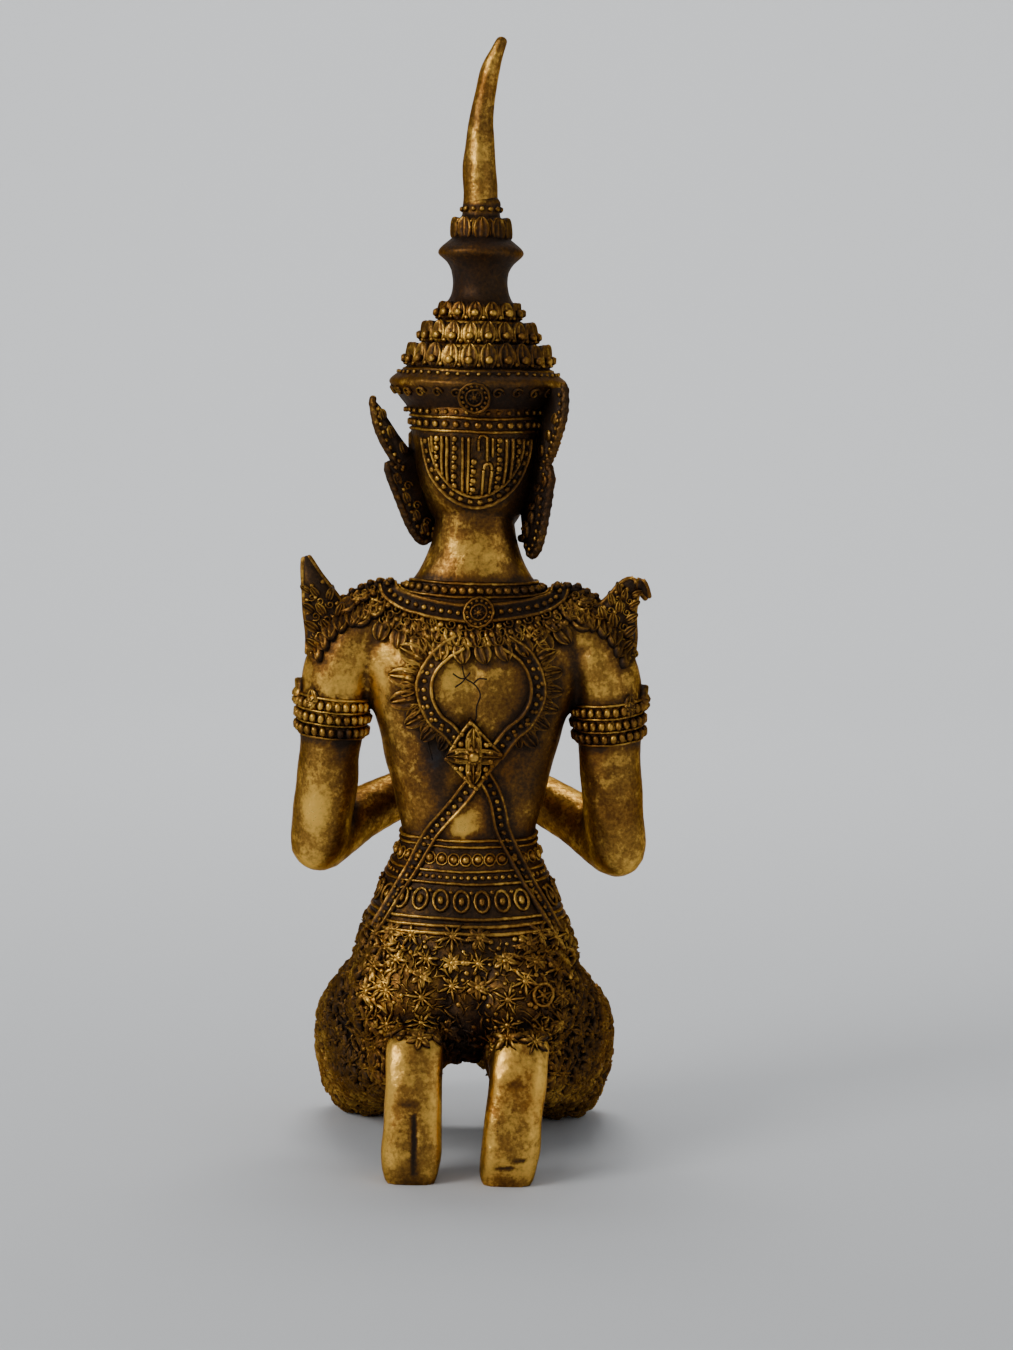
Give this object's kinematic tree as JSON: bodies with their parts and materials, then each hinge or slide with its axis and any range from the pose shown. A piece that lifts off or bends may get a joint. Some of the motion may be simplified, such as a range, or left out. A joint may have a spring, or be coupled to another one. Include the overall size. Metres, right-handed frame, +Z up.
{
  "type": "kneeling statue",
  "caption": "Cast figure kneeling upright on its heels with palms joined in prayer, in a tall tiered pointed crown and jewelled dress, standing by its own weight on knees and toes",
  "frame": {"origin": "middle of the bounding box in plan, at the floor under the knees and toes", "axes": "+Z is up along the trunk and crown, the figure faces -Y, and +X is the figure's left hand side"},
  "size_m": [0.0985, 0.0994, 0.3002],
  "materials": {
    "gilt_bronze": "worn gilding over dark brown patinated cast bronze"
  },
  "bodies": {
    "root": {"kneeling_figure": "gilt_bronze"}
  },
  "joints": []
}
